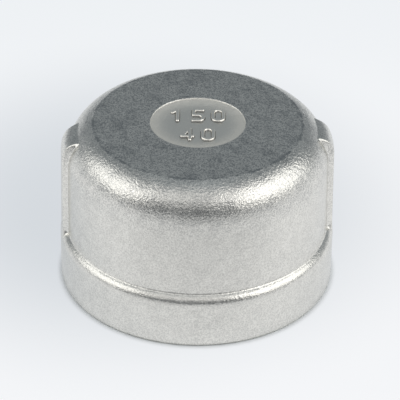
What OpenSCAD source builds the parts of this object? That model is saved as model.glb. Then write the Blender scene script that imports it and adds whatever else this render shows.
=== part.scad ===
// Screwed pipe cap: a banded female cap with two wrench ribs and raised size numerals on its crown.
// The origin is the centre of the mouth. +Z runs up through the crown, and the ribs lie on X.

/* [Thread] */
// Major diameter, measured across the thread's roots
thread_major_d = 47.803; // [40:0.001:60]
// Threads to the inch
thread_tpi = 11; // [9:1:13]
// Height of the crests above the roots, after boring
thread_depth = 1.16; // [0.8:0.02:1.3]
// Depth of full thread from the mouth
thread_len = 18.5; // [12:0.5:23]
// Depth of the 45 degree lead-in at the mouth, measured outside the roots
mouth_chamfer = 0.5; // [0.2:0.1:1]

/* [Casting] */
// Height from the mouth to the crown
cap_h = 35; // [29:0.5:46]
// Metal between the thread's roots and the outside of the band
band_t = 4.1; // [3.2:0.1:8]
// Height of the plain band around the mouth
band_h = 9.5; // [6:0.5:14]
// How far the band stands out from the foot of the wall
band_step = 1.35; // [0.6:0.05:1.8]
// Height of the hollow between the band's edge and the wall
band_hollow_h = 2.2; // [1.8:0.1:4]
// Rounding of the band's lower edge
band_edge_r = 0.7; // [0.3:0.1:1.2]
// Inward lean of the wall in degrees
wall_draft = 0.9; // [0.5:0.1:3]
// Radius of the shoulder
shoulder_r = 8.15; // [6:0.05:11]
// Angle in degrees at which the shoulder falls away from the crown
crease_angle = 20; // [10:1:30]
// Thickness of the crown
crown_t = 4.5; // [3.5:0.1:6]
// Radius inside the cavity between bore and crown
cavity_r = 5; // [2:0.5:6]

/* [Wrench ribs] */
// Width of a rib
rib_w = 8; // [5:0.5:12]
// How far a rib's foot stands in from the outside of the band
rib_inset = 0.15; // [0.05:0.05:0.5]
// Inward lean of a rib's outer face in degrees
rib_draft = 1; // [0.5:0.1:2]
// How far a rib's top lies below the crown
rib_drop = 2; // [1:0.1:3]
// Radius of a rib's top corner
rib_corner_r = 4; // [2:0.5:5]
// Rounding of a rib's long edges
rib_edge_r = 0.8; // [0.3:0.1:1.4]

/* [Size numerals] */
// Height of a numeral
mark_h = 4.8; // [3.8:0.1:6]
// Width of a numeral
mark_w = 2.9; // [2.4:0.1:4]
// Gap between two numerals
mark_gap = 1.2; // [0.6:0.1:2]
// Gap between the two rows
mark_row_gap = 2.4; // [1.4:0.1:4]
// Width of a stroke
mark_stroke = 0.8; // [0.5:0.05:1]
// Height of the numerals above the floor that they stand on
mark_rise = 0.45; // [0.2:0.05:0.6]
// Clear floor around the corners of the two rows
mark_margin = 1.38; // [0.6:0.02:3]
// Turn of the numerals from the line of the ribs in degrees
mark_turn = -3.5; // [-180:0.5:180]
// Depth of the round recess that holds the numerals
recess_depth = 0.75; // [0.6:0.05:1.2]

/* [Hidden] */
$fn = 128;

// Whitworth form: the flanks lean 27.5 degrees from square, and a sixth of the pitch is left flat at each root
inch = 25.4;
flank_angle = 27.5;
pitch = inch / thread_tpi;
root_flat = pitch / 6;
root_r = thread_major_d / 2;
bore_r = root_r - thread_depth;
lead_r = root_r + mouth_chamfer;

// The threaded zone is a sleeve of metal that reaches this far beyond the roots, and the casting starts there
sleeve_t = 0.25;
seat_r = root_r + sleeve_t;

// The helical cutter overshoots the bore and the ends by these lengths, and its flats touch the true root
cutter_in = 0.2;
cutter_end = 1.2;
steps_per_turn = 40;
chord = 1 / cos(180 / steps_per_turn);
over = 1;

// Arcs and straight lines meet at the arcs' outermost points, on whole micrometres, so that they meet exactly
function whole_um(length) = round(length * 1000) / 1000;

band_r = root_r + band_t;
foot_r = band_r - band_step;
foot_z = band_h + band_hollow_h;
hollow_r = whole_um((pow(band_step, 2) + pow(band_hollow_h, 2)) / (2 * band_step));
shoulder_z = whole_um(cap_h - shoulder_r * cos(crease_angle));
wall_top_r = whole_um(foot_r - (shoulder_z - foot_z) * tan(wall_draft));
shoulder_x = wall_top_r - shoulder_r;
cavity_h = cap_h - crown_t;

rib_r = band_r - rib_inset;
rib_top = cap_h - rib_drop;
rib_corner_z = rib_top - rib_corner_r;
rib_corner_x = whole_um(rib_r - (rib_corner_z - band_h) * tan(rib_draft) - rib_corner_r);

marks_half_w = (3 * mark_w + 2 * mark_gap) / 2;
marks_half_h = (2 * mark_h + mark_row_gap) / 2;
recess_r = norm([marks_half_w, marks_half_h]) + mark_margin;
recess_z = cap_h - recess_depth;

// ---- outlines, as (radius, height) pairs to be turned about Z ----

module band_outline() {
    difference() {
        square([band_r, foot_z]);
        translate([band_r - band_edge_r, 0])
            difference() {
                square(band_edge_r);
                translate([0, band_edge_r]) circle(band_edge_r);
            }
        translate([foot_r + hollow_r, foot_z]) circle(hollow_r);
    }
}

module wall_outline() {
    polygon([[0, band_h], [foot_r - over, band_h], [foot_r, foot_z], [wall_top_r, shoulder_z], [0, shoulder_z]]);
    intersection() {
        translate([0, shoulder_z]) square([band_r, cap_h - shoulder_z]);
        union() {
            square([shoulder_x, cap_h]);
            translate([shoulder_x, shoulder_z]) circle(shoulder_r);
        }
    }
}

module cavity_outline() {
    translate([0, -over]) square([seat_r, thread_len + over]);
    polygon([[0, -over], [lead_r + over, -over], [seat_r, lead_r - seat_r], [0, lead_r - seat_r]]);
    square([bore_r, cavity_h - cavity_r]);
    square([bore_r - cavity_r, cavity_h]);
    translate([bore_r - cavity_r, cavity_h - cavity_r]) circle(cavity_r);
}

module rib_outline() {
    foot = [rib_r + over * tan(rib_draft), band_h - over];
    corner = [rib_corner_x + rib_corner_r, rib_corner_z];
    polygon([[0, foot[1]], foot, corner, [rib_corner_x, rib_corner_z], [rib_corner_x, rib_top], [0, rib_top]]);
    translate([rib_corner_x, rib_corner_z]) circle(rib_corner_r);
}

// ---- the casting ----

module rib_plan() {
    edge_x = rib_r - rib_edge_r;
    edge_y = rib_w / 2 - rib_edge_r;
    translate([0, -edge_y]) square([rib_r + over, 2 * edge_y]);
    translate([0, -rib_w / 2]) square([edge_x, rib_w]);
    for (side = [-1, 1]) translate([edge_x, side * edge_y]) circle(rib_edge_r);
}

module rib() {
    intersection() {
        rotate_extrude() rib_outline();
        translate([0, 0, band_h - over]) linear_extrude(rib_top) rib_plan();
    }
}

module cap_casting() {
    color("#b4b2ab")
        difference() {
            union() {
                rotate_extrude() {
                    band_outline();
                    wall_outline();
                }
                for (turn = [0, 180]) rotate(turn) rib();
            }
            rotate_extrude() cavity_outline();
            translate([0, 0, recess_z]) cylinder(r = recess_r, h = recess_depth + over);
        }
}

// ---- the thread ----

// Half of the groove's width at a radius
function groove_half(r) = root_flat / 2 + (root_r - r) * tan(flank_angle);

// The cutter's section, as (radius, height) corners
groove_section = [for (side = [-1, 1], r = side < 0 ? [bore_r - cutter_in, root_r] : [root_r, bore_r - cutter_in])
    [r * chord, side * groove_half(r)]];

module groove_cutter() {
    steps = ceil((thread_len + 2 * cutter_end) / pitch * steps_per_turn);
    corners = len(groove_section);
    points = [for (i = [0 : steps], c = groove_section)
        let (a = i * 360 / steps_per_turn)
        [c[0] * cos(a), c[0] * sin(a), c[1] + pitch * i / steps_per_turn - cutter_end]];
    sides = [for (i = [0 : steps - 1], j = [0 : corners - 1])
        let (k = (j + 1) % corners, here = i * corners, next = here + corners)
        each [[here + j, next + k, next + j], [here + j, here + k, next + k]]];
    first = [for (j = [corners - 1 : -1 : 0]) j];
    last = [for (j = [0 : corners - 1]) steps * corners + j];
    polyhedron(points, concat([first, last], sides));
}

module thread_sleeve() {
    lead_h = lead_r - bore_r + cutter_in;
    difference() {
        cylinder(r = seat_r, h = thread_len);
        translate([0, 0, -over]) cylinder(r = bore_r, h = thread_len + 2 * over);
        translate([0, 0, -over]) cylinder(r1 = lead_r + over, r2 = lead_r - lead_h, h = lead_h + over);
    }
}

module pipe_thread() {
    color("#8e8d88")
        difference() {
            thread_sleeve();
            groove_cutter();
        }
}

// ---- the numerals, each drawn about its own centre ----

module stroke(from, to) {
    run = to - from;
    translate(from) rotate(atan2(run[1], run[0])) translate([0, -mark_stroke / 2]) square([norm(run), mark_stroke]);
    for (end = [from, to]) translate(end) circle(mark_stroke / 2, $fn = 32);
}

// Half of a ring about the origin, on the side that the turn points to
module half_ring(r, turn) {
    rotate(turn) difference() {
        circle(r + mark_stroke / 2, $fn = 64);
        circle(r - mark_stroke / 2, $fn = 64);
        translate([-2 * r - mark_stroke, -r - mark_stroke]) square([2 * r + mark_stroke, 2 * (r + mark_stroke)]);
    }
}

// Half width and half height of a numeral, measured to the middle of its strokes
half_w = (mark_w - mark_stroke) / 2;
half_h = (mark_h - mark_stroke) / 2;

module numeral_0() {
    straight = half_h - half_w;
    for (side = [-1, 1]) {
        stroke([side * half_w, -straight], [side * half_w, straight]);
        translate([0, side * straight]) half_ring(half_w, side * 90);
    }
}

module numeral_1() {
    stroke([0, -half_h], [0, half_h]);
    stroke([0, half_h], [-half_w, half_h - half_w]);
}

module numeral_4() {
    bar_y = -half_h * 0.4;
    post_x = half_w * 0.45;
    stroke([post_x, half_h], [-half_w, bar_y]);
    stroke([-half_w, bar_y], [half_w, bar_y]);
    stroke([post_x, half_h], [post_x, -half_h]);
}

module numeral_5() {
    bowl_y = half_w - half_h;
    bowl_top = bowl_y + half_w;
    stroke([-half_w * 0.8, half_h], [half_w * 0.9, half_h]);
    stroke([-half_w * 0.8, half_h], [-half_w * 0.8, bowl_top]);
    stroke([-half_w * 0.8, bowl_top], [0, bowl_top]);
    translate([0, bowl_y]) half_ring(half_w, 0);
    stroke([0, -half_h], [-half_w * 0.9, -half_h]);
}

module size_marks() {
    across = mark_w + mark_gap;
    up = (mark_h + mark_row_gap) / 2;
    color("#c2bfb4") rotate(mark_turn) translate([0, 0, recess_z]) linear_extrude(mark_rise) {
        translate([-across, up]) numeral_1();
        translate([0, up]) numeral_5();
        translate([across, up]) numeral_0();
        translate([-across / 2, -up]) numeral_4();
        translate([across / 2, -up]) numeral_0();
    }
}

cap_casting();
pipe_thread();
size_marks();
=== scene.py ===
"""Looks of the screwed pipe cap: its blasted casting, its thread and the numerals on its crown."""

import logging
import math
from dataclasses import dataclass, field
from enum import Enum
from typing import Any, Mapping, Union

import bpy
from mathutils import Matrix, Vector


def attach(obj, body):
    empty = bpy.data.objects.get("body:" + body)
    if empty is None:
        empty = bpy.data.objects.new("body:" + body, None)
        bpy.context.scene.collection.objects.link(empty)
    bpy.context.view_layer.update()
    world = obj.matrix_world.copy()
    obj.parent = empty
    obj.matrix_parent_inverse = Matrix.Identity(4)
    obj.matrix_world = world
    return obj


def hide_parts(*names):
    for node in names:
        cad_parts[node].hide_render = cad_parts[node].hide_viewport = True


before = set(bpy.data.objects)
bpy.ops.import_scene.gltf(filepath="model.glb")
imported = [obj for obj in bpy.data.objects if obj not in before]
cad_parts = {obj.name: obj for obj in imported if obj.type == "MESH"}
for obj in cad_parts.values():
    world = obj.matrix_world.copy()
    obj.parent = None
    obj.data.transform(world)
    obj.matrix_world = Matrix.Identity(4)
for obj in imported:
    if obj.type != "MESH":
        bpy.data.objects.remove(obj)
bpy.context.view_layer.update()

LOG = logging.getLogger("pipe_cap")
MM = 0.001
BODY = "root"

Colour = tuple[float, float, float]
Span = tuple[float, float]
Shares = tuple[float, float, float]
Value = Union["Sock", float, int, Colour, bpy.types.Material]


# ---------------------------------------------------------------- node trees


class Sock:
    """An output socket of a node tree, on which Python's operators add Math nodes."""

    def __init__(self, graph: "Graph", socket: bpy.types.NodeSocket) -> None:
        """Wraps one socket.

        Args:
            graph: The tree that the socket belongs to.
            socket: The node's output.
        """
        self.graph = graph
        self.socket = socket

    def of(self, name: str) -> "Sock":
        """Another output of the same node, by its name."""
        return Sock(self.graph, open_socket(self.socket.node.outputs, name))

    def maths(self, operation: str, *others: "Sock | float") -> "Sock":
        """A Math node that takes this socket first.

        Args:
            operation: The Math node's operation.
            others: What goes into its second and third sockets.

        Returns:
            The node's result.
        """
        inputs = dict(enumerate((self, *others)))
        return self.graph.add("ShaderNodeMath", {"operation": operation}, inputs)

    def swapped(self, operation: str, other: float) -> "Sock":
        """A Math node that takes a number first and this socket second."""
        return self.graph.add("ShaderNodeMath", {"operation": operation}, {0: other, 1: self})

    def __add__(self, other: "Sock | float") -> "Sock":
        """This plus the other."""
        return self.maths("ADD", other)

    def __radd__(self, other: float) -> "Sock":
        """The other plus this."""
        return self.swapped("ADD", other)

    def __sub__(self, other: "Sock | float") -> "Sock":
        """This less the other."""
        return self.maths("SUBTRACT", other)

    def __rsub__(self, other: float) -> "Sock":
        """The other less this."""
        return self.swapped("SUBTRACT", other)

    def __mul__(self, other: "Sock | float") -> "Sock":
        """This times the other."""
        return self.maths("MULTIPLY", other)

    def __rmul__(self, other: float) -> "Sock":
        """The other times this."""
        return self.swapped("MULTIPLY", other)

    def __truediv__(self, other: "Sock | float") -> "Sock":
        """This over the other."""
        return self.maths("DIVIDE", other)

    def __rtruediv__(self, other: float) -> "Sock":
        """The other over this."""
        return self.swapped("DIVIDE", other)

    def __pow__(self, power: float) -> "Sock":
        """This to a power."""
        return self.maths("POWER", power)

    def step(self, low: float, high: float) -> "Sock":
        """A smooth step of this value.

        Args:
            low: Where the step is 0.
            high: Where the step is 1. It may be the smaller of the two.

        Returns:
            A value from 0 to 1.
        """
        settings = {"interpolation_type": "SMOOTHSTEP", "clamp": True}
        if high < low:
            return 1.0 - self.graph.add("ShaderNodeMapRange", settings, {0: self, 1: high, 2: low})
        return self.graph.add("ShaderNodeMapRange", settings, {0: self, 1: low, 2: high})

    def over(self, span: Span) -> "Sock":
        """A smooth step of this length between the two ends of a span in millimetres."""
        return self.step(span[0] * MM, span[1] * MM)


def open_socket(sockets: Any, key: "str | int") -> bpy.types.NodeSocket:
    """Finds a socket of a node.

    Args:
        sockets: The node's inputs or outputs.
        key: A number, or the name or identifier of a usable socket.

    Returns:
        The socket, or the first one where several fit.
    """
    if isinstance(key, int):
        return sockets[key]
    return next(s for s in sockets if s.enabled and key in (s.name, s.identifier))


@dataclass
class Graph:
    """A node tree, and the one method that adds a node to it."""

    tree: bpy.types.NodeTree

    def add(
        self,
        kind: str,
        settings: Mapping[str, Any] | None = None,
        inputs: Mapping["str | int", Value] | None = None,
    ) -> Sock:
        """Adds a node.

        Args:
            kind: The node's type.
            settings: Its properties, which are set first.
            inputs: Its sockets by number or name, each with a value or a link.

        Returns:
            The node's first usable output.
        """
        node = self.tree.nodes.new(kind)
        for name, value in (settings or {}).items():
            setattr(node, name, value)
        for key, value in (inputs or {}).items():
            self.feed(open_socket(node.inputs, key), value)
        outputs = [s for s in node.outputs if s.enabled]
        return Sock(self, outputs[0]) if outputs else Sock(self, None)

    def feed(self, socket: bpy.types.NodeSocket, value: Value) -> None:
        """Links a socket to another, or sets its value.

        Args:
            socket: The input to fill.
            value: What goes into it.
        """
        if isinstance(value, Sock):
            self.tree.links.new(value.socket, socket)
        elif socket.type == "RGBA":
            socket.default_value = (*value, 1.0)
        else:
            socket.default_value = value

    def mix(
        self, factor: "Sock | float", first: "Sock | Colour", second: "Sock | Colour"
    ) -> Sock:
        """A colour between two colours.

        Args:
            factor: 0 for the first and 1 for the second.
            first: A colour.
            second: Another colour.

        Returns:
            The mixed colour.
        """
        inputs = {"Factor": factor, "A": first, "B": second}
        return self.add("ShaderNodeMix", {"data_type": "RGBA"}, inputs)

    def noise(self, point: Sock, size: float, detail: float = 2.0, **more: float) -> Sock:
        """Noise whose lumps have a given size.

        Args:
            point: Where it is read.
            size: The size of its lumps, in millimetres.
            detail: Octaves of finer noise.
            more: Other sockets of the noise node, such as Distortion.

        Returns:
            A value of about 0.5.
        """
        inputs = {"Vector": point, "Scale": 1.0 / (size * MM), "Detail": detail, **more}
        return self.add("ShaderNodeTexNoise", {"normalize": True}, inputs)

    def point_of(self, x: "Sock | float", y: "Sock | float", z: "Sock | float") -> Sock:
        """A vector from its three parts."""
        return self.add("ShaderNodeCombineXYZ", None, {0: x, 1: y, 2: z})

    def stretched(self, point: Sock, scale: Colour) -> Sock:
        """A point with each of its parts times a number."""
        return self.add("ShaderNodeVectorMath", {"operation": "MULTIPLY"}, {0: point, 1: scale})


class ShapeTree(Graph):
    """A Geometry Nodes tree with named inputs, run once on a seed mesh to leave a plain mesh."""

    SOCKETS = {
        float: "NodeSocketFloat",
        int: "NodeSocketInt",
        bpy.types.Material: "NodeSocketMaterial",
    }
    WELD = 0.0005

    def __init__(self, name: str) -> None:
        """Makes an empty tree that takes and gives a geometry.

        Args:
            name: What the tree is called.
        """
        super().__init__(bpy.data.node_groups.new(name, "GeometryNodeTree"))
        face = self.tree.interface
        face.new_socket("Geometry", in_out="INPUT", socket_type="NodeSocketGeometry")
        face.new_socket("Geometry", in_out="OUTPUT", socket_type="NodeSocketGeometry")
        self.entry = self.tree.nodes.new("NodeGroupInput")
        self.values: dict[str, Any] = {}

    def seed(self) -> Sock:
        """The geometry that the tree is given."""
        return Sock(self, self.entry.outputs[0])

    def sized(self, name: str, value: "float | int | bpy.types.Material") -> Sock:
        """A named input of the tree.

        Args:
            name: What the input is called.
            value: What the modifier passes to it.

        Returns:
            The input's socket inside the tree.
        """
        kind = next(k for t, k in self.SOCKETS.items() if isinstance(value, t))
        item = self.tree.interface.new_socket(name, in_out="INPUT", socket_type=kind)
        self.values[item.identifier] = value
        return Sock(self, open_socket(self.entry.outputs, item.identifier))

    def indexed(self, seed: Sock, value: Sock, index: Sock, kind: str = "FLOAT") -> Sock:
        """What a field is at one point of a geometry.

        Args:
            seed: The geometry.
            value: The field.
            index: The point's number.
            kind: FLOAT or FLOAT_VECTOR.

        Returns:
            The value there.
        """
        settings = {"data_type": kind, "domain": "POINT"}
        inputs = {"Geometry": seed, "Value": value, "Index": index}
        return self.add("GeometryNodeSampleIndex", settings, inputs)

    def grid(self, columns: Sock, rows: Sock) -> tuple[Sock, Sock, Sock]:
        """A square grid whose points know their column and row, and whose faces look down.

        Args:
            columns: How many points it has along X.
            rows: How many points it has along Y.

        Returns:
            The grid's mesh, each point's column and each point's row, counted from 0.
        """
        mesh = self.add("GeometryNodeMeshGrid", None, {0: 1.0, 1: 1.0, 2: columns, 3: rows})
        mesh = self.add("GeometryNodeFlipFaces", None, {"Mesh": mesh})
        place = self.add("ShaderNodeSeparateXYZ", None, {0: self.add("GeometryNodeInputPosition")})
        column = ((place + 0.5) * (columns - 1.0)).maths("ROUND")
        row = ((place.of("Y") + 0.5) * (rows - 1.0)).maths("ROUND")
        return mesh, column, row

    def moved(self, mesh: Sock, place: Sock, **more: Value) -> Sock:
        """A mesh with its points put at new places."""
        inputs = {"Geometry": mesh, "Position": place, **more}
        return self.add("GeometryNodeSetPosition", None, inputs)

    def run(
        self,
        name: str,
        seed: bpy.types.Mesh,
        mesh: Sock,
        material: bpy.types.Material,
        sharp: float,
    ) -> bpy.types.Object:
        """Closes the tree, runs it on a seed mesh and returns the plain result.

        Args:
            name: What the piece is called.
            seed: The mesh that the tree is given.
            mesh: The tree's finished geometry.
            material: The piece's material.
            sharp: Edges that turn by more than this many degrees stay sharp.

        Returns:
            A piece with no modifier, at the origin.
        """
        finish = self.sized("Finish", material)
        weld = {"Geometry": mesh, "Distance": self.sized("Weld", self.WELD * MM)}
        welded = self.add("GeometryNodeMergeByDistance", None, weld)
        turn = self.add("GeometryNodeInputMeshEdgeAngle").of("Unsigned Angle")
        limit = self.sized("Sharp Angle", math.radians(sharp))
        faces = {"Geometry": welded, "Shade Smooth": True}
        rounded = self.add("GeometryNodeSetShadeSmooth", {"domain": "FACE"}, faces)
        creased = turn.maths("GREATER_THAN", limit)
        edges = {"Geometry": rounded, "Selection": creased, "Shade Smooth": False}
        shaded = self.add("GeometryNodeSetShadeSmooth", {"domain": "EDGE"}, edges)
        real = self.add("GeometryNodeRealizeInstances", None, {"Geometry": shaded})
        dressed = {"Geometry": real, "Material": finish}
        self.add("NodeGroupOutput", None, {0: self.add("GeometryNodeSetMaterial", None, dressed)})

        holder = bpy.data.objects.new(name + "_seed", seed)
        bpy.context.scene.collection.objects.link(holder)
        modifier = holder.modifiers.new(name, "NODES")
        modifier.node_group = self.tree
        for identifier, value in self.values.items():
            modifier[identifier] = value
        evaluated = holder.evaluated_get(bpy.context.evaluated_depsgraph_get())
        result = bpy.data.meshes.new_from_object(evaluated)
        holder.modifiers.remove(modifier)
        bpy.data.objects.remove(holder)
        result.name = name
        result.materials.clear()
        result.materials.append(material)
        piece = bpy.data.objects.new(name, result)
        bpy.context.scene.collection.objects.link(piece)
        return piece


# ---------------------------------------------------------------- finishes


class Skin(Enum):
    """How a steel surface was left."""

    BLASTED = "blasted"
    TURNED = "turned"
    TUMBLED = "tumbled"


@dataclass(frozen=True)
class SteelFinish:
    """Stainless steel with a skin and the shade that goes with it, with lengths in millimetres."""

    name: str
    skin: Skin
    pale: Colour = (0.87, 0.855, 0.805)
    dull: Colour = (0.64, 0.63, 0.595)
    # Colour of stains, and of the painted shade at the crease and at the numerals' feet.
    stain_and_shade: Colour = (0.36, 0.37, 0.37)
    bright: Colour = (0.95, 0.92, 0.85)
    roughness: float = 0.29
    roughness_spread: float = 0.08
    centre_roughness: float = 0.36
    rim_roughness: float = 0.60
    ripple_size: float = 0.52
    ripple_depth: float = 0.072
    grain_size: float = 0.27
    grain_depth: float = 0.046
    smooth_depth: float = 0.35
    mottle_size: float = 2.6
    wave_size: float = 6.5
    wave_depth: float = 0.10
    dent_size: float = 1.7
    dent_depth: float = 0.22
    shade_of: Shares = (0.22, 0.60, 0.18)
    shade_range: Span = (0.30, 0.70)
    recess_share: float = 0.85
    recess_rough: Span = (5.0, 9.3)
    cut_gloss: float = 0.12
    groove_pitch: float = 0.18
    groove_depth: float = 0.004
    face_z: Span = (0.06, 0.024)
    bore_r: Span = (24.35, 24.2)
    bore_top_z: Span = (30.6, 29.5)
    shoulder_z: Span = (24.0, 28.0)
    crown_z: Span = (34.75, 34.95)
    depth_shares: Shares = (0.75, 0.35, 0.30)
    stained_z: Span = (24.0, 29.5)
    stain_shares: Shares = (0.10, 0.45, 0.45)
    specks: Span = (0.58, 0.36)
    speck_share: float = 0.74
    patches: Span = (0.54, 0.32)
    patch_share: float = 0.36
    # Painted shade: a thin dark line on the crown just inside the crease, broken here and there by
    # broad noise.
    crease_shade_inner_r: Span = (20.55, 20.95)
    crease_shade_outer_r: Span = (21.35, 21.05)
    crease_shade_z: Span = (34.6, 34.9)
    crease_shade_breaks: Span = (0.62, 0.40)
    crease_shade_share: float = 0.6
    # Grime and painted shade: the numerals are darkened at their feet.
    numeral_foot_z: Span = (34.54, 34.36)
    numeral_foot_shade_share: float = 0.9
    rib_y: Span = (5.4, 4.2)
    rib_x: Span = (22.2, 23.4)
    rib_z: Span = (9.4, 11.0)
    recess_top_z: Span = (34.97, 34.80)
    recess_low_z: Span = (33.0, 33.4)
    recess_r: Span = (9.9, 9.6)

    def material(self) -> bpy.types.Material:
        """The finish as a material of the scene."""
        material = bpy.data.materials.new(self.name)
        material.use_nodes = True
        material.node_tree.nodes.clear()
        graph = Graph(material.node_tree)
        point = graph.add("ShaderNodeTexCoord").of("Object")
        ripple = graph.noise(point, self.ripple_size, 1.0, Roughness=0.5)
        grain = graph.noise(point, self.grain_size, 1.0)
        blotch = graph.noise(point, self.mottle_size, 3.0, Roughness=0.6)
        wave = graph.noise(point, self.wave_size, 1.0)
        cut = self.cut_mask(graph, point)
        recess = self.recess_mask(graph, point)
        calm = self.rib_mask(graph, point) + recess
        depth = (1.0 - cut) * (1.0 - calm * (1.0 - self.smooth_depth))
        depth = depth * self.rough_share(graph, point)
        height = (ripple * self.ripple_depth + grain * self.grain_depth) * depth
        height = height + wave * self.wave_depth * (1.0 - cut) + self.tool_marks(graph, point) * cut
        height = height + graph.noise(point, self.dent_size, 1.0) * self.dent_depth * recess
        bump = graph.add(
            "ShaderNodeBump", None, {"Strength": 1.0, "Distance": MM, "Height": height}
        )
        of_blotch, of_grain, of_ripple = self.shade_of
        shade = blotch * of_blotch + grain * of_grain + ripple * of_ripple
        skin = graph.mix(shade.step(*self.shade_range), self.dull, self.pale)
        skin = graph.mix(recess * self.recess_share, skin, self.bright)
        rough = self.roughness + (blotch - 0.5) * self.roughness_spread - cut * self.cut_gloss
        to_rim = radius_of(graph, point).over(self.recess_rough)
        in_recess = self.centre_roughness + to_rim * (self.rim_roughness - self.centre_roughness)
        shader = {
            # Stains and painted shade darken the skin here.
            "Base Color": graph.mix(self.stain_and_shade_mask(graph, point, blotch, grain), skin, self.stain_and_shade),
            "Metallic": 1.0,
            "Roughness": rough * (1.0 - recess) + in_recess * recess,
            "Normal": bump,
        }
        surface = graph.add("ShaderNodeBsdfPrincipled", None, shader)
        graph.add("ShaderNodeOutputMaterial", None, {"Surface": surface})
        return material

    def cut_mask(self, graph: Graph, point: Sock) -> "Sock | float":
        """1 where a tool has cut the metal: the bore and the mouth's face.

        Args:
            graph: The material's tree.
            point: The surface point, in metres.

        Returns:
            A value from 0 to 1, or a plain number if the whole piece is the same.
        """
        if self.skin is not Skin.BLASTED:
            return 1.0 if self.skin is Skin.TURNED else 0.0
        up = height_of(graph, point)
        bore = radius_of(graph, point).over(self.bore_r) * up.over(self.bore_top_z)
        return up.over(self.face_z).maths("MAXIMUM", bore)

    def rough_share(self, graph: Graph, point: Sock) -> "Sock | float":
        """How much of the grain's depth is left: most on the crown and least on the wall and band.

        Args:
            graph: The material's tree.
            point: The surface point, in metres.

        Returns:
            A share, of about 1.
        """
        if self.skin is not Skin.BLASTED:
            return 1.0
        up = height_of(graph, point)
        low, on_shoulder, on_crown = self.depth_shares
        return low + up.over(self.shoulder_z) * on_shoulder + up.over(self.crown_z) * on_crown

    def stain_and_shade_mask(self, graph: Graph, point: Sock, blotch: Sock, grain: Sock) -> "Sock | float":
        """How stained and shaded the skin is: stain specks and patches, painted shade in a thin
        line round the crown at the crease, and grime with painted shade at the numerals' feet.

        Args:
            graph: The material's tree.
            point: The surface point, in metres.
            blotch: Broad noise.
            grain: Fine noise.

        Returns:
            A value from 0 to 1.
        """
        if self.skin is Skin.TURNED:
            return 0.0
        up = height_of(graph, point)
        if self.skin is Skin.TUMBLED:
            # The numerals' feet are darkened: grime and painted shade.
            return up.over(self.numeral_foot_z) * self.numeral_foot_shade_share
        radius = radius_of(graph, point)
        low, on_shoulder, on_crown = self.stain_shares
        most = low + up.over(self.stained_z) * on_shoulder + up.over(self.crown_z) * on_crown
        specks = grain.step(*self.specks) * self.speck_share
        specks = specks + blotch.step(*self.patches) * self.patch_share
        # Painted shade: a thin dark line along the crease round the crown.
        line = radius.over(self.crease_shade_inner_r) * radius.over(self.crease_shade_outer_r)
        line = up.over(self.crease_shade_z) * line * blotch.step(*self.crease_shade_breaks) * self.crease_shade_share
        return (most * specks + line) * (1.0 - self.recess_mask(graph, point))

    def rib_mask(self, graph: Graph, point: Sock) -> "Sock | float":
        """1 on the ribs, whose cast skin is smoother.

        Args:
            graph: The material's tree.
            point: The surface point, in metres.

        Returns:
            A value from 0 to 1.
        """
        if self.skin is not Skin.BLASTED:
            return 0.0
        part = graph.add("ShaderNodeSeparateXYZ", None, {0: point})
        across = part.of("Y").maths("ABSOLUTE").over(self.rib_y)
        out = part.maths("ABSOLUTE").over(self.rib_x)
        return across * out * part.of("Z").over(self.rib_z)

    def recess_mask(self, graph: Graph, point: Sock) -> "Sock | float":
        """1 in the recess of the crown, which is smoother and brighter than the rest.

        Args:
            graph: The material's tree.
            point: The surface point, in metres.

        Returns:
            A value from 0 to 1.
        """
        if self.skin is Skin.TURNED:
            return 0.0
        if self.skin is Skin.TUMBLED:
            return 1.0
        up = height_of(graph, point)
        low = up.over(self.recess_top_z) * up.over(self.recess_low_z)
        return low * radius_of(graph, point).over(self.recess_r)

    def tool_marks(self, graph: Graph, point: Sock) -> Sock:
        """Fine rings left by turning, in millimetres of height."""
        along = radius_of(graph, point) + height_of(graph, point)
        along = along * (2.0 * math.pi / (self.groove_pitch * MM))
        return along.maths("SINE") * self.groove_depth


def radius_of(graph: Graph, point: Sock) -> Sock:
    """How far a point is from the cap's axis."""
    flat = graph.stretched(point, (1.0, 1.0, 0.0))
    return graph.add("ShaderNodeVectorMath", {"operation": "LENGTH"}, {0: flat})


def height_of(graph: Graph, point: Sock) -> Sock:
    """How far a point is above the mouth's face."""
    return graph.add("ShaderNodeSeparateXYZ", None, {0: point}).of("Z")


def distance_to(graph: Graph, point: Sock, other: Colour) -> Sock:
    """How far a point is from a fixed one."""
    inputs = {0: point, 1: other}
    return graph.add("ShaderNodeVectorMath", {"operation": "DISTANCE"}, inputs).of("Value")


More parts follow.
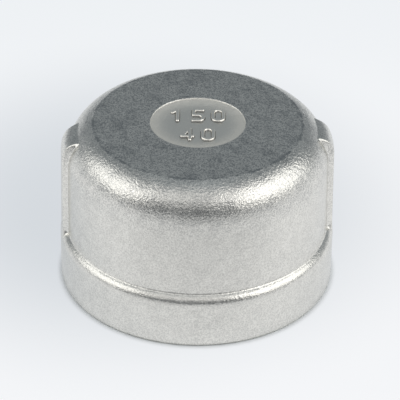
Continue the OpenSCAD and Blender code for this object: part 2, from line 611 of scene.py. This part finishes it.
@dataclass(frozen=True)
class FloorFinish:
    """A matt pale board, with a painted shadow of the cap on it and painted shade in front that
    only reflections see, with lengths in metres.
    """

    name: str = "pale_board"
    colour: Colour = (0.89, 0.915, 0.93)
    glow: Colour = (0.965, 0.975, 0.995)
    far: Colour = (0.91, 0.935, 0.96)
    # Painted shadow: a soft dark patch round the cap, centred a little to its left and behind it.
    painted_shadow: Colour = (0.71, 0.745, 0.785)
    far_y: Span = (0.03, 0.12)
    painted_shadow_at: Colour = (-0.012, 0.025, 0.0)
    painted_shadow_reach: Span = (0.076, 0.020)
    # Painted shade: the floor in front goes dark for glossy rays only, so the metal reflects a
    # shaded floor in front.
    mirrored_front_shade: Colour = (0.30, 0.31, 0.32)
    front_shade_at: Colour = (0.0, -0.32, 0.0)
    front_shade_reach: float = 0.29
    front_shade_fall: float = 0.55
    glow_share: float = 0.85
    contact_r: Span = (27.6, 29.2)
    roughness: float = 0.95

    def material(self) -> bpy.types.Material:
        """The finish as a material of the scene."""
        material = bpy.data.materials.new(self.name)
        material.use_nodes = True
        material.node_tree.nodes.clear()
        graph = Graph(material.node_tree)
        point = graph.add("ShaderNodeTexCoord").of("Object")
        away = distance_to(graph, point, self.painted_shadow_at)
        back = graph.add("ShaderNodeSeparateXYZ", None, {0: point}).of("Y")
        ray = graph.add("ShaderNodeLightPath").of("Is Camera Ray")
        tone = graph.mix(back.step(*self.far_y), self.glow, self.far)
        # Painted shadow of the cap, mixed into the floor's glow.
        tone = graph.mix(away.step(*self.painted_shadow_reach), tone, self.painted_shadow)
        # Painted shade in front of the cap, seen only in reflections.
        reach = {0: distance_to(graph, point, self.front_shade_at), 1: self.front_shade_reach, 2: 0.0}
        front = graph.add("ShaderNodeMapRange", {"clamp": True}, reach) ** self.front_shade_fall
        tone = graph.mix(front * ray.of("Is Glossy Ray"), tone, self.mirrored_front_shade)
        shader = {
            "Base Color": self.colour,
            "Roughness": self.roughness,
            "Specular IOR Level": 0.1,
        }
        surface = graph.add("ShaderNodeBsdfPrincipled", None, shader)
        glow = graph.add("ShaderNodeEmission", None, {"Color": tone, "Strength": 1.0})
        clear = radius_of(graph, point).over(self.contact_r)
        seen = ray.maths("MAXIMUM", ray.of("Is Glossy Ray")) * clear * self.glow_share
        lit = graph.add("ShaderNodeMixShader", None, {0: seen, 1: surface, 2: glow})
        graph.add("ShaderNodeOutputMaterial", None, {"Surface": lit})
        return material


# ---------------------------------------------------------------- the cap


@dataclass
class Outline:
    """A line to be turned about Z, as (radius, height) points in millimetres."""

    SAME = 1e-5
    points: list[tuple[float, float]] = field(default_factory=list)
    ribbed: list[bool] = field(default_factory=list)
    ribs_here: bool = False

    def put(self, radius: float, height: float) -> None:
        """Adds a point, unless the line already ends there.

        Args:
            radius: How far it is from the axis.
            height: How far it is above the mouth.
        """
        if self.points and math.dist(self.points[-1], (radius, height)) < self.SAME:
            return
        self.points.append((radius, height))
        self.ribbed.append(self.ribs_here)

    def line(self, radius: float, height: float, steps: int = 1) -> None:
        """Adds a straight run from the line's end.

        Args:
            radius: Where it ends.
            height: Where it ends.
            steps: How many equal lengths it has.
        """
        start = self.points[-1]
        for k in range(1, steps + 1):
            share = k / steps
            self.put(start[0] + (radius - start[0]) * share, start[1] + (height - start[1]) * share)

    def arc(self, centre: Span, radius: float, start: float, end: float, steps: int) -> None:
        """Adds an arc, with a straight run up to its start if there is a gap.

        Args:
            centre: Its centre.
            radius: Its radius.
            start: The angle that it starts at, in degrees from the outward direction.
            end: The angle that it ends at.
            steps: How many equal lengths it has.
        """
        for k in range(steps + 1):
            self.put(*on_circle(centre, radius, start + (end - start) * k / steps))

    def bend(self, corner: Span, end: Span, steps: int = 4) -> None:
        """Rounds a corner from the line's end to another point.

        Args:
            corner: The sharp corner.
            end: Where the rounding ends.
            steps: How many lengths it has.
        """
        start = self.points[-1]
        for k in range(1, steps + 1):
            t = k / steps
            parts = ((1 - t) ** 2, start), (2 * t * (1 - t), corner), (t * t, end)
            self.put(*(sum(weight * spot[axis] for weight, spot in parts) for axis in (0, 1)))

    def normals(self) -> list[Span]:
        """Works out which way is outwards along the line.

        Returns:
            The unit normal at each point, from its two neighbours.
        """
        found = []
        last = len(self.points) - 1
        for k, here in enumerate(self.points):
            before, after = self.points[max(k - 1, 0)], self.points[min(k + 1, last)]
            run = (after[0] - before[0], after[1] - before[1])
            length = math.hypot(*run)
            found.append((-run[1] / length, run[0] / length))
        return found

    def mesh(self, name: str, rises: list[float], normals: list[Span]) -> bpy.types.Mesh:
        """The outline as points in metres, with what the tree needs to know at each.

        Args:
            name: The mesh's name.
            rises: How far the ribs stand above each point, in metres.
            normals: The outward normals.

        Returns:
            A mesh of points only.
        """
        mesh = bpy.data.meshes.new(name)
        mesh.from_pydata([(r * MM, 0.0, z * MM) for r, z in self.points], [], [])
        mesh.attributes.new("rise", "FLOAT", "POINT").data.foreach_set("value", rises)
        flat = [part for r, z in normals for part in (r, 0.0, z)]
        mesh.attributes.new("outward", "FLOAT_VECTOR", "POINT").data.foreach_set("vector", flat)
        return mesh


@dataclass
class WrenchRib:
    """One of the two flat-sided ribs that a wrench grips, in millimetres."""

    TRIES = 60
    width: float = 8.0
    reach: float = 27.8515
    foot_z: float = 9.5
    draft: float = 1.0
    top: float = 33.0
    corner_r: float = 4.0
    edge_soft: float = 0.55
    foot_soft: float = 0.75
    side_slope: float = 2.4
    fade_outside: float = 6.0
    most_rise: float = 4.0

    def distance(self, radius: float, height: float) -> float:
        """Measures from a point to the rib's outline.

        Args:
            radius: How far the point is from the axis.
            height: How far it is above the mouth.

        Returns:
            How far it is outside the outline, negative inside.
        """
        lean = math.tan(math.radians(self.draft))
        reach = self.reach - (min(height, self.top - self.corner_r) - self.foot_z) * lean
        out = (radius - reach + self.corner_r, height - self.top + self.corner_r)
        beyond = math.hypot(max(out[0], 0.0), max(out[1], 0.0))
        return beyond + min(max(out), 0.0) - self.corner_r

    def rise(self, point: Span, normal: Span) -> float:
        """How far the rib's outline stands above a point of the body, along the body's normal.

        Args:
            point: A point of the body's outline.
            normal: The outward normal there.

        Returns:
            The height of the rib, negative where the body stands above the rib.
        """
        gap = self.distance(*point)
        if gap >= 0.0:
            return -gap * self.fade_outside
        travelled = 0.0
        for _ in range(self.TRIES):
            radius, height = (p + n * travelled for p, n in zip(point, normal))
            travelled -= self.distance(radius, height)
        return min(travelled, self.most_rise)


@dataclass
class CapCasting:
    """The cast body with its band, wall, shoulder, crown, recess, cavity and ribs, in mm."""

    TINY = 1e-8
    finish: SteelFinish
    rib: WrenchRib
    height: float = 35.0
    band_r: float = 28.0015
    band_h: float = 9.5
    band_corner_r: float = 0.7
    foot_r: float = 26.6515
    foot_z: float = 11.7
    foot_inset: float = 0.0055
    foot_soft: float = 0.35
    ledge_r: float = 2.468
    ledge_angle: float = 55.0
    shoulder_r: float = 8.15
    shoulder_at: Span = (18.256, 27.342)
    crease_angle: float = 20.0
    crease_soft: float = 0.13
    recess_r: float = 9.553
    recess_z: float = 34.25
    middle_r: float = 3.0
    dish_from: float = 5.6
    dish_r: float = 14.5
    dish_angle: float = 15.0
    dish_corner: Span = (0.03, 0.16)
    recess_rim_r: float = 0.10
    lead_r: float = 24.4015
    seat_r: float = 24.1515
    seat_h: float = 18.5
    bore_r: float = 22.7415
    cavity_h: float = 30.5
    cavity_r: float = 5.0
    segments: int = 560
    crowding: float = 0.78

    def outline(self) -> Outline:
        """Draws the body's outline.

        Returns:
            The line from the middle of the recess, round the outside, to the top of the cavity.
        """
        line = Outline()
        line.put(0.0, self.recess_z)
        self.crown_recess(line)
        crease = self.crease()
        line.line(crease[0] - self.crease_soft, self.height, 8)
        line.ribs_here = True
        start = 90.0 - self.crease_angle - math.degrees(self.crease_soft / self.shoulder_r)
        line.bend(crease, on_circle(self.shoulder_at, self.shoulder_r, start), 4)
        line.arc(self.shoulder_at, self.shoulder_r, start, 0.0, 44)
        line.line(self.foot_r - self.foot_inset, self.foot_z + self.foot_soft, 14)
        ledge_at = (self.band_r - self.ledge_r, self.band_h)
        meeting = on_circle(ledge_at, self.ledge_r, self.ledge_angle)
        line.bend((self.foot_r, self.foot_z), meeting, 5)
        line.arc(ledge_at, self.ledge_r, self.ledge_angle, 0.0, 14)
        line.ribs_here = False
        line.line(self.band_r, self.band_corner_r, 4)
        corner = (self.band_r - self.band_corner_r, self.band_corner_r)
        line.arc(corner, self.band_corner_r, 0.0, -90.0, 8)
        self.inside(line)
        return line

    def crown_recess(self, line: Outline) -> None:
        """Adds the recess's dished floor, its side and its rim.

        Args:
            line: The outline, which ends in the middle of the recess.
        """
        line.line(self.middle_r, self.recess_z)
        line.line(self.dish_from, self.recess_z, 3)
        dish_at = (self.dish_from, self.recess_z + self.dish_r)
        line.arc(dish_at, self.dish_r, -90.0, self.dish_angle - 90.0, 9)
        low, high = (line.points[-1][1] + up for up in self.dish_corner)
        line.bend((self.recess_r, low), (self.recess_r, high), 5)
        rim_at = (self.recess_r + self.recess_rim_r, self.height - self.recess_rim_r)
        line.arc(rim_at, self.recess_rim_r, 180.0, 90.0, 4)

    def inside(self, line: Outline) -> None:
        """Adds the mouth's face, the seat of the threaded zone and the cavity.

        Args:
            line: The outline, which ends at the band's lower corner.
        """
        line.line(self.lead_r, 0.0, 3)
        line.line(self.seat_r, self.lead_r - self.seat_r)
        line.line(self.seat_r, self.seat_h, 3)
        line.line(self.bore_r, self.seat_h, 2)
        line.line(self.bore_r, self.cavity_h - self.cavity_r, 3)
        corner = (self.bore_r - self.cavity_r, self.cavity_h - self.cavity_r)
        line.arc(corner, self.cavity_r, 0.0, 90.0, 12)
        line.line(self.middle_r, self.cavity_h, 4)
        line.line(0.0, self.cavity_h)

    def crease(self) -> Span:
        """The corner between the flat crown and the shoulder."""
        up = self.height - self.shoulder_at[1]
        return self.shoulder_at[0] + math.sqrt(self.shoulder_r**2 - up**2), self.height

    def build(self) -> bpy.types.Object:
        """Turns the outline about Z, with the two ribs raised from it.

        Returns:
            The cast body as one closed mesh.
        """
        line = self.outline()
        normals = line.normals()
        spots = zip(line.points, normals, line.ribbed)
        rises = [self.rib.rise(spot, way) * MM if on else -MM for spot, way, on in spots]
        seed = line.mesh("cap_outline", rises, normals)
        tree = ShapeTree("turned_casting")
        given = tree.seed()
        columns = tree.sized("Segments", self.segments) + 1.0
        mesh, column, row = tree.grid(columns, tree.sized("Outline Points", len(line.points)))
        place = tree.indexed(given, tree.add("GeometryNodeInputPosition"), row, "FLOAT_VECTOR")
        named = {"data_type": "FLOAT_VECTOR"}
        outward = tree.add("GeometryNodeInputNamedAttribute", named, {"Name": "outward"})
        outward = tree.indexed(given, outward, row, "FLOAT_VECTOR")
        rise = tree.add("GeometryNodeInputNamedAttribute", {"data_type": "FLOAT"}, {"Name": "rise"})
        rise = tree.indexed(given, rise, row)
        place = tree.add("ShaderNodeSeparateXYZ", None, {0: place})
        outward = tree.add("ShaderNodeSeparateXYZ", None, {0: outward})

        turn = column / (columns - 1.0) * (2.0 * math.pi)
        crowding = tree.sized("Crowding", self.crowding) * 0.5
        turn = turn - (turn * 2.0).maths("SINE") * crowding
        flat_x, flat_y = place * turn.maths("COSINE"), place * turn.maths("SINE")
        edge = tree.sized("Rib Width", self.rib.width * MM) * 0.5 - flat_y.maths("ABSOLUTE")
        side = edge * tree.sized("Side Slope", self.rib.side_slope)
        top = rise.maths("SMOOTH_MIN", side, tree.sized("Edge Softness", self.rib.edge_soft * MM))
        lift = top.maths("SMOOTH_MAX", 0.0, tree.sized("Foot Softness", self.rib.foot_soft * MM))
        out = lift * outward
        across = (flat_x * flat_x).maths("MAXIMUM", 0.1 * self.TINY)
        grown = (place * out * 2.0 + out * out) / across
        x = flat_x * (1.0 + grown * (lift.maths("GREATER_THAN", self.TINY))).maths("SQRT")
        spot = tree.point_of(x, flat_y, place.of("Z") + lift * outward.of("Z"))
        turned = tree.moved(mesh, spot)
        return tree.run("cap_body", seed, turned, self.finish.material(), sharp=42.0)


def on_circle(centre: Span, radius: float, angle: float) -> Span:
    """The point of a circle at an angle in degrees from the outward direction."""
    turn = math.radians(angle)
    return centre[0] + radius * math.cos(turn), centre[1] + radius * math.sin(turn)


@dataclass
class PipeThread:
    """The threaded zone inside the mouth, in millimetres."""

    finish: SteelFinish
    root_r: float = 23.9015
    bore_r: float = 22.7415
    lead_r: float = 24.4015
    outside_r: float = 24.135
    start_z: float = 0.262
    length: float = 18.5
    pitch: float = 25.4 / 11.0
    first_groove: float = 1.2
    flank: float = 27.5
    rounding: float = 0.22
    run_out: Span = (18.4, 16.9)
    segments: int = 216
    rows_per_turn: int = 16

    def build(self) -> bpy.types.Object:
        """Winds the groove's section up the bore.

        Returns:
            The threaded sleeve as one closed mesh.
        """
        seed = bpy.data.meshes.new("thread_seed")
        tree = ShapeTree("wound_thread")
        columns = tree.sized("Segments", self.segments) + 1.0
        wound = math.ceil((self.length / self.pitch + 1.0) * self.rows_per_turn) + 1
        wound_rows = tree.sized("Wound Rows", wound)
        mesh, column, row = tree.grid(columns, wound_rows + 3.0)
        pitch = tree.sized("Pitch", self.pitch * MM)
        low, high = self.start_z * MM, self.length * MM
        share = column / (columns - 1.0)
        raw = pitch * (row / float(self.rows_per_turn) + share - 1.0)
        z = raw.maths("MAXIMUM", low).maths("MINIMUM", high)
        z = self.blend_ends(row, wound_rows, z, low, high)
        phase = (z + self.first_groove * MM) / pitch - share
        off = (phase + 0.5).maths("FRACT") - 0.5
        half_flat = self.pitch / 12.0
        away = off.maths("ABSOLUTE") * pitch - half_flat * MM
        away = away.maths("SMOOTH_MAX", 0.0, self.rounding * MM)
        lean = math.tan(math.radians(self.flank))
        depth = tree.sized("Root Radius", self.root_r * MM) - away / lean
        bore = self.bore_r * MM
        wall = depth.maths("SMOOTH_MAX", bore, self.rounding * MM)
        wall = bore + (wall - bore) * z.over(self.run_out)
        wall = wall.maths("MAXIMUM", self.lead_r * MM - z)
        back = row.maths("GREATER_THAN", wound_rows - 0.5)
        radius = wall * (1.0 - back) + back * (self.outside_r * MM)
        radius = radius.maths("MINIMUM", self.outside_r * MM)
        turn = share * (2.0 * math.pi)
        spot = tree.point_of(radius * turn.maths("COSINE"), radius * turn.maths("SINE"), z)
        turned = tree.moved(mesh, spot)
        return tree.run("pipe_thread_cut", seed, turned, self.finish.material(), sharp=50.0)

    def blend_ends(self, row: Sock, wound_rows: Sock, z: Sock, low: float, high: float) -> Sock:
        """Puts the last rows on the sleeve's outside, first at its top and then at its foot.

        Args:
            row: Each point's row.
            wound_rows: How many rows the thread itself has.
            z: Each point's height on the thread.
            low: The sleeve's foot.
            high: The sleeve's top.

        Returns:
            Each point's height.
        """
        foot = row.maths("GREATER_THAN", wound_rows + 0.5)
        top = row.maths("GREATER_THAN", wound_rows - 0.5) * (1.0 - foot)
        return z * (1.0 - foot) * (1.0 - top) + foot * low + top * high


class Numeral(Enum):
    """The numerals that size marks are made of."""

    ZERO = 0
    ONE = 1
    FOUR = 4
    FIVE = 5


@dataclass
class SizeMarks:
    """The raised numerals in the recess, in two rows, in millimetres."""

    finish: SteelFinish
    rows: tuple[tuple[Numeral, ...], ...] = (
        (Numeral.ONE, Numeral.FIVE, Numeral.ZERO),
        (Numeral.FOUR, Numeral.ZERO),
    )
    half_w: float = 1.05
    half_h: float = 2.0
    across: float = 4.1
    between_rows: float = 7.2
    turn: float = -3.5
    floor_z: float = 34.25
    rise: float = 0.42
    top_half: float = 0.16
    skirt: float = 0.58
    bed_depth: float = 0.12
    slab: float = 0.06
    sunk: float = -0.03
    spacing: float = 0.085
    field_r: float = 8.6

    def strokes(self, numeral: Numeral) -> list[list[Span]]:
        """Draws a numeral about its own centre.

        Args:
            numeral: Which one.

        Returns:
            The middle lines of its strokes.
        """
        w, h = self.half_w, self.half_h
        if numeral is Numeral.ZERO:
            rows = [self.bow((0.0, h - w), w, 0.0, 180.0), self.bow((0.0, w - h), w, 180.0, 360.0)]
            return [rows[0] + rows[1] + rows[0][:1]]
        if numeral is Numeral.ONE:
            return [[(0.0, -h), (0.0, h), (-w, h - w)]]
        if numeral is Numeral.FOUR:
            post, bar = 0.45 * w, -0.4 * h
            return [[(post, h), (-w, bar), (w, bar)], [(post, h), (post, -h)]]
        bowl = self.bow((0.0, w - h), w, 90.0, -90.0)
        return [[(0.9 * w, h), (-0.8 * w, h), (-0.8 * w, 2.0 * w - h), *bowl, (-0.9 * w, -h)]]

    @staticmethod
    def bow(centre: Span, radius: float, start: float, end: float) -> list[Span]:
        """Points along a round part of a stroke.

        Args:
            centre: The bow's centre.
            radius: Its radius.
            start: The angle that it starts at, in degrees.
            end: The angle that it ends at.

        Returns:
            Its points.
        """
        steps = 20
        angles = (start + (end - start) * k / steps for k in range(steps + 1))
        return [on_circle(centre, radius, angle) for angle in angles]

    def stroke_mesh(self) -> bpy.types.Mesh:
        """Sets out all the strokes.

        Returns:
            A mesh of edges, level at height 0 and in metres.
        """
        turned = Matrix.Rotation(math.radians(self.turn), 3, "Z")
        points: list[Vector] = []
        edges: list[tuple[int, int]] = []
        for k, row in enumerate(self.rows):
            y = self.between_rows * (0.5 - k)
            for m, numeral in enumerate(row):
                x = self.across * (m - (len(row) - 1) / 2)
                for stroke in self.strokes(numeral):
                    first = len(points)
                    points += [turned @ Vector((x + a, y + b, 0.0)) * MM for a, b in stroke]
                    edges += [(first + i, first + i + 1) for i in range(len(stroke) - 1)]
        mesh = bpy.data.meshes.new("numeral_strokes")
        mesh.from_pydata(points, edges, [])
        return mesh

    def build(self) -> bpy.types.Object:
        """Raises the numerals from thin slabs that lie in the floor of the recess.

        Returns:
            The numerals as closed lumps with soft skirts.
        """
        tree = ShapeTree("raised_numerals")
        count = tree.sized("Field Points", int(2.0 * self.field_r / self.spacing))
        side = tree.sized("Field Side", 2.0 * self.field_r * MM)
        sheet = tree.add("GeometryNodeMeshGrid", None, {0: side, 1: side, 2: count, 3: count})
        to_strokes = {0: tree.seed(), 2: self.level(tree, 0.0)}
        away = tree.add("GeometryNodeProximity", {"target_element": "EDGES"}, to_strokes)
        away = away.of("Distance")
        skirt = tree.sized("Skirt", self.skirt * MM)
        beyond = away.maths("GREATER_THAN", skirt + self.spacing * MM)
        dropped = {"Geometry": sheet, "Selection": beyond}
        sheet = tree.add("GeometryNodeDeleteGeometry", {"domain": "POINT"}, dropped)
        below = (self.floor_z - self.bed_depth) * MM
        base = tree.moved(sheet, self.level(tree, below))
        pushed = {
            "Mesh": base,
            "Offset": (0.0, 0.0, self.slab * MM),
            "Offset Scale": 1.0,
            "Individual": False,
        }
        raised = tree.add("GeometryNodeExtrudeMesh", {"mode": "FACES"}, pushed)
        slope = {
            0: away,
            1: skirt,
            2: tree.sized("Flat Half Width", self.top_half * MM),
            3: self.sunk * MM,
            4: tree.sized("Rise", self.rise * MM),
        }
        softly = {"interpolation_type": "SMOOTHERSTEP", "clamp": True}
        lift = tree.add("ShaderNodeMapRange", softly, slope)
        tops = self.level(tree, lift + self.floor_z * MM)
        lumps = tree.moved(raised, tops, Selection=raised.of("Top"))
        under = tree.add("GeometryNodeFlipFaces", None, {"Mesh": base})
        joined = tree.tree.nodes.new("GeometryNodeJoinGeometry")
        for part in (lumps, under):
            tree.tree.links.new(part.socket, joined.inputs[0])
        seed, whole = self.stroke_mesh(), Sock(tree, joined.outputs[0])
        return tree.run("size_numerals", seed, whole, self.finish.material(), sharp=60.0)

    @staticmethod
    def level(tree: ShapeTree, height: "Sock | float") -> Sock:
        """Each point's own place, put at a height."""
        place = tree.add("ShaderNodeSeparateXYZ", None, {0: tree.add("GeometryNodeInputPosition")})
        return tree.point_of(place, place.of("Y"), height)


# ---------------------------------------------------------------- the studio


@dataclass(frozen=True)
class SoftLamp:
    """A soft light that points at the cap."""

    name: str
    azimuth: float
    elevation: float
    distance: float
    width: float
    height: float
    watts: float
    colour: Colour = (1.0, 0.985, 0.96)

    def hang(self) -> None:
        """Adds the light to the scene."""
        data = bpy.data.lights.new(self.name, "AREA")
        data.shape = "RECTANGLE"
        data.size = self.width
        data.size_y = self.height
        data.energy = self.watts
        data.color = self.colour
        lamp = bpy.data.objects.new(self.name, data)
        bpy.context.scene.collection.objects.link(lamp)
        lamp.location = towards(self.azimuth, self.elevation) * self.distance
        lamp.rotation_euler = lamp.location.to_track_quat("Z", "Y").to_euler()


def towards(azimuth: float, elevation: float) -> Vector:
    """The direction at an azimuth from the front towards +X, and an elevation, in degrees."""
    a, e = math.radians(azimuth), math.radians(elevation)
    return Vector((math.sin(a) * math.cos(e), -math.cos(a) * math.cos(e), math.sin(e)))


@dataclass(frozen=True)
class Viewpoint:
    """The camera's place and lens."""

    azimuth: float = -3.5
    elevation: float = 35.02
    distance: float = 0.4715
    focal: float = 5.65
    roll: float = 0.636
    origin_at: Span = (-0.009375, -0.163775)

    def set_up(self) -> None:
        """Adds the camera, turned so that the mouth's centre lands where it should in the frame."""
        data = bpy.data.cameras.new("viewpoint")
        data.sensor_width = 36.0
        data.lens = self.focal * data.sensor_width
        data.clip_start = 0.01
        data.clip_end = 50.0
        camera = bpy.data.objects.new("viewpoint", data)
        bpy.context.scene.collection.objects.link(camera)
        place = towards(self.azimuth, self.elevation) * self.distance
        facing = place.to_track_quat("Z", "Y").to_matrix()
        right, up = (part / self.focal for part in self.origin_at)
        seen = Vector((right, up, -1.0)).normalized()
        tilt = Vector((0.0, 0.0, -1.0)).rotation_difference(seen).to_matrix()
        roll = Matrix.Rotation(math.radians(self.roll), 3, "Z")
        turned = facing @ roll @ tilt.inverted()
        camera.matrix_world = Matrix.Translation(place) @ turned.to_4x4()
        bpy.context.scene.camera = camera


@dataclass
class Studio:
    """A pale floor, a soft room and two soft lamps."""

    floor: FloorFinish = field(default_factory=FloorFinish)
    floor_side: float = 8.0
    floor_gap: float = 0.00003
    zenith: Colour = (0.34, 0.375, 0.40)
    front_high: Colour = (0.84, 0.845, 0.85)
    front_low: Colour = (0.03, 0.04, 0.05)
    back_high: Colour = (0.238, 0.264, 0.283)
    back_low: Colour = (0.34, 0.36, 0.38)
    seen: Colour = (0.87, 0.895, 0.92)
    front_up: Span = (0.08, 0.78)
    back_up: Span = (0.05, 0.34)
    round_to_back: Span = (-0.55, 0.15)
    overhead: Span = (0.89, 0.985)
    lamps: tuple[SoftLamp, ...] = (
        SoftLamp("lamp_left", -85.0, 29.0, 1.3, 1.40, 0.85, 4.5),
        SoftLamp("lamp_right", 71.0, 30.5, 1.3, 1.60, 0.98, 6.6),
    )

    def build(self) -> None:
        """Adds the floor, the room, the lamps and the camera."""
        self.lay_floor()
        self.paint_room()
        for lamp in self.lamps:
            lamp.hang()
        Viewpoint().set_up()
        settings = bpy.context.scene.view_settings
        settings.view_transform = "Standard"

    def lay_floor(self) -> None:
        """Adds the floor, just under the mouth."""
        half = self.floor_side / 2
        corners = [(-half, -half), (half, -half), (half, half), (-half, half)]
        mesh = bpy.data.meshes.new("floor")
        mesh.from_pydata([(x, y, -self.floor_gap) for x, y in corners], [], [(0, 1, 2, 3)])
        mesh.materials.append(self.floor.material())
        floor = bpy.data.objects.new("floor", mesh)
        bpy.context.scene.collection.objects.link(floor)

    def paint_room(self) -> None:
        """Makes the room bright high in front, and dim low down, behind and overhead."""
        world = bpy.data.worlds.new("room")
        bpy.context.scene.world = world
        world.use_nodes = True
        world.node_tree.nodes.clear()
        graph = Graph(world.node_tree)
        way = graph.add("ShaderNodeTexCoord").of("Generated")
        way = graph.add("ShaderNodeSeparateXYZ", None, {0: way})
        up = way.of("Z")
        front = graph.mix(up.step(*self.front_up), self.front_low, self.front_high)
        back = graph.mix(up.step(*self.back_up), self.back_low, self.back_high)
        ring = graph.mix(way.of("Y").step(*self.round_to_back), front, back)
        tone = graph.mix(up.step(*self.overhead), ring, self.zenith)
        tone = graph.mix(graph.add("ShaderNodeLightPath").of("Is Camera Ray"), tone, self.seen)
        room = graph.add("ShaderNodeBackground", None, {"Color": tone, "Strength": 1.0})
        graph.add("ShaderNodeOutputWorld", None, {"Surface": room})


# ---------------------------------------------------------------- putting it together


def place(piece: bpy.types.Object, node: str, slot: str) -> None:
    """Makes a piece stand for a CAD node.

    Args:
        piece: The finished piece.
        node: The CAD node that it replaces.
        slot: The record's material slot; not used.
    """
    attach(piece, BODY)
    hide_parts(node)
    points, faces = len(piece.data.vertices), len(piece.data.polygons)
    LOG.info("%s: %d points, %d faces, stands for %s", piece.name, points, faces, node)


def main() -> None:
    """Builds the pieces and the studio in order."""
    logging.basicConfig(level=logging.INFO, format="%(name)s: %(message)s")
    blasted = SteelFinish("blasted_steel", Skin.BLASTED)
    turned = SteelFinish("turned_steel", Skin.TURNED, roughness=0.3, grain_depth=0.01)
    # This dark colour at the numerals' feet stands for grime and painted shade.
    tumbled = SteelFinish("tumbled_steel", Skin.TUMBLED, stain_and_shade=(0.12, 0.12, 0.115))
    place(CapCasting(blasted, WrenchRib()).build(), "cap_casting", "blasted_steel")
    place(PipeThread(turned).build(), "pipe_thread", "machined_steel")
    place(SizeMarks(tumbled).build(), "size_marks", "tumbled_steel")
    Studio().build()


if __name__ == "__main__":
    main()
